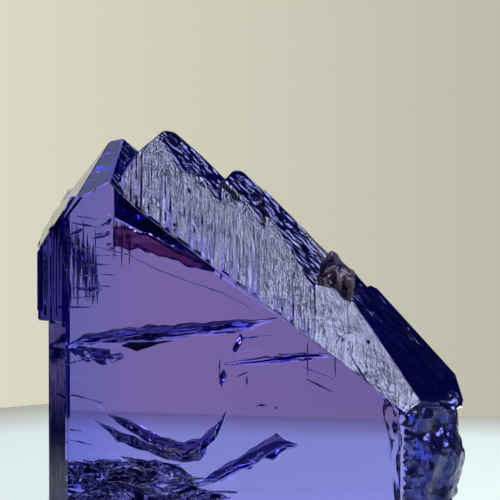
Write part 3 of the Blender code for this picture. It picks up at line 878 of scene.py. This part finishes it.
def table_top():
    """Plain pale table top: a flat sheet whose back edge fades into the wall behind the crystal."""
    bpy.ops.object.select_all(action="DESELECT")
    bpy.ops.mesh.primitive_circle_add(vertices=len(TABLE_CORNERS), radius=1.0, fill_type="NGON")
    top = bpy.context.object
    top.name = "table_top"
    corners = [Vector((across, back, -TABLE_UNDER)) * MM for across, back in TABLE_CORNERS]
    for vert, corner in zip(top.data.vertices, corners):
        vert.co = corner
    top.data.update()
    bpy.ops.object.mode_set(mode="EDIT")
    bpy.ops.mesh.select_all(action="SELECT")
    bpy.ops.mesh.inset(thickness=TABLE_FADE * MM)
    bpy.ops.object.mode_set(mode="OBJECT")
    inward = top.data.attributes.new("inward", "FLOAT", "POINT")
    back_corners = [corner for corner in corners if corner.y > 0]
    for vert, value in zip(top.data.vertices, inward.data):
        at_edge = any((vert.co - corner).length < MM for corner in back_corners)
        value.value = 0.0 if at_edge else 1.0
    top.data.materials.append(painted_table())


def painted_table():
    """Matt painted board, off-white, greyed towards the table's back edge so that the edge looks soft."""
    made = bpy.data.materials.new("painted_table")
    made.use_nodes = True
    tree = made.node_tree
    surface = tree.nodes["Principled BSDF"]
    surface.inputs["Roughness"].default_value = 0.6
    inward = node(tree, "ShaderNodeAttribute", attribute_name="inward")
    paint = node(tree, "ShaderNodeMix", {
        6: linear(TABLE_EDGE_PAINT), 7: linear(TABLE_PAINT),
    }, {0: inward.outputs["Fac"]}, data_type="RGBA")
    tree.links.new(paint.outputs[2], surface.inputs["Base Color"])
    return made


def studio():
    """Cream wall behind and low at the right, dim blue room elsewhere. The camera sees only the wall."""
    world = bpy.data.worlds.new("studio")
    bpy.context.scene.world = world
    world.use_nodes = True
    tree = world.node_tree
    tree.nodes.clear()
    where = node(tree, "ShaderNodeTexCoord")
    along = node(tree, "ShaderNodeSeparateXYZ", links={"Vector": where.outputs["Generated"]})
    across = node(tree, "ShaderNodeMapRange", {
        "From Min": WALL_SHADE[0], "From Max": WALL_SHADE[1],
    }, {"Value": along.outputs["X"]})
    wall = node(tree, "ShaderNodeMix", {6: linear(WALL_LEFT), 7: linear(WALL_RIGHT)}, {
        0: across.outputs[0],
    }, data_type="RGBA")
    behind = node(tree, "ShaderNodeMapRange", {
        "From Min": LIT_BEHIND[0], "From Max": LIT_BEHIND[1],
    }, {"Value": along.outputs["Y"]})
    beside = node(tree, "ShaderNodeMapRange", {
        "From Min": LIT_BESIDE[0], "From Max": LIT_BESIDE[1], "To Max": BESIDE_SHARE,
    }, {"Value": along.outputs["X"]})
    level = node(tree, "ShaderNodeMath", links={0: behind.outputs[0], 1: beside.outputs[0]},
                 operation="MAXIMUM")
    low = node(tree, "ShaderNodeMapRange", {
        "From Min": LIT_LOW[0], "From Max": LIT_LOW[1], "To Min": 1.0, "To Max": HIGH_SHARE,
    }, {"Value": along.outputs["Z"]})
    both = node(tree, "ShaderNodeMath", links={0: level.outputs[0], 1: low.outputs[0]},
                operation="MULTIPLY")
    path = node(tree, "ShaderNodeLightPath")
    seen = node(tree, "ShaderNodeMath", links={0: both.outputs[0], 1: path.outputs["Is Camera Ray"]},
                operation="MAXIMUM")
    room = node(tree, "ShaderNodeMix", {6: linear(ROOM_BLUE)}, {
        0: seen.outputs[0], 7: wall.outputs[2],
    }, data_type="RGBA")
    back = node(tree, "ShaderNodeBackground", links={"Color": room.outputs[2]})
    node(tree, "ShaderNodeOutputWorld", links={"Surface": back.outputs[0]})


def softbox(name, direction, away, size, radiance, colour):
    """A square soft light, facing the crystal, of a given brightness to the eye."""
    data = bpy.data.lights.new(name, "AREA")
    data.shape = "SQUARE"
    data.size = size * MM
    data.energy = radiance * math.pi * (size * MM) ** 2
    data.color = linear(colour)[:3]
    lamp = bpy.data.objects.new(name, data)
    bpy.context.scene.collection.objects.link(lamp)
    out = Vector(direction).normalized()
    lamp.location = LIT_MIDDLE * MM + out * away * MM
    lamp.rotation_mode = "QUATERNION"
    lamp.rotation_quaternion = out.to_track_quat("Z", "Y")
    lamp.visible_camera = False
    return lamp


def photo_camera():
    """A long lens at the photograph's angle, framed as the photograph is."""
    data = bpy.data.cameras.new("camera")
    camera = bpy.data.objects.new("camera", data)
    bpy.context.scene.collection.objects.link(camera)
    back = Vector((0.0, -math.cos(VIEW_DOWN), math.sin(VIEW_DOWN)))
    camera.location = (AIM + back * CAMERA_AWAY) * MM
    camera.rotation_mode = "QUATERNION"
    camera.rotation_quaternion = back.to_track_quat("Z", "Y")
    data.lens = data.sensor_width * CAMERA_AWAY / FIELD_WIDE
    data.clip_start = 0.01
    data.clip_end = 10.0
    bpy.context.scene.camera = camera


photo_camera()
studio()
table_top()
softbox(*SLOPE_SOFTBOX)
key = softbox(*KEY_SOFTBOX)
key.visible_glossy = False
softbox(*LEFT_CARD)
bpy.context.scene.view_settings.view_transform = "Standard"

crystal = crystal_body()
dress(crystal)

cracks = large_cracks()
cracks += [small_crack("short_crack_%d" % count, *row) for count, row in enumerate(SHORT_CRACKS)]
cracks += [glint("glint_%d" % count, *row) for count, row in enumerate(GLINTS)]
cracks += rubble()
cracks += needles()
cracks += wine_splits()
line_cracks(cracks)

pick_only(crystal)
for one in cracks:
    one.select_set(True)
bpy.ops.object.join()
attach(crystal, "root")
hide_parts(NODE)
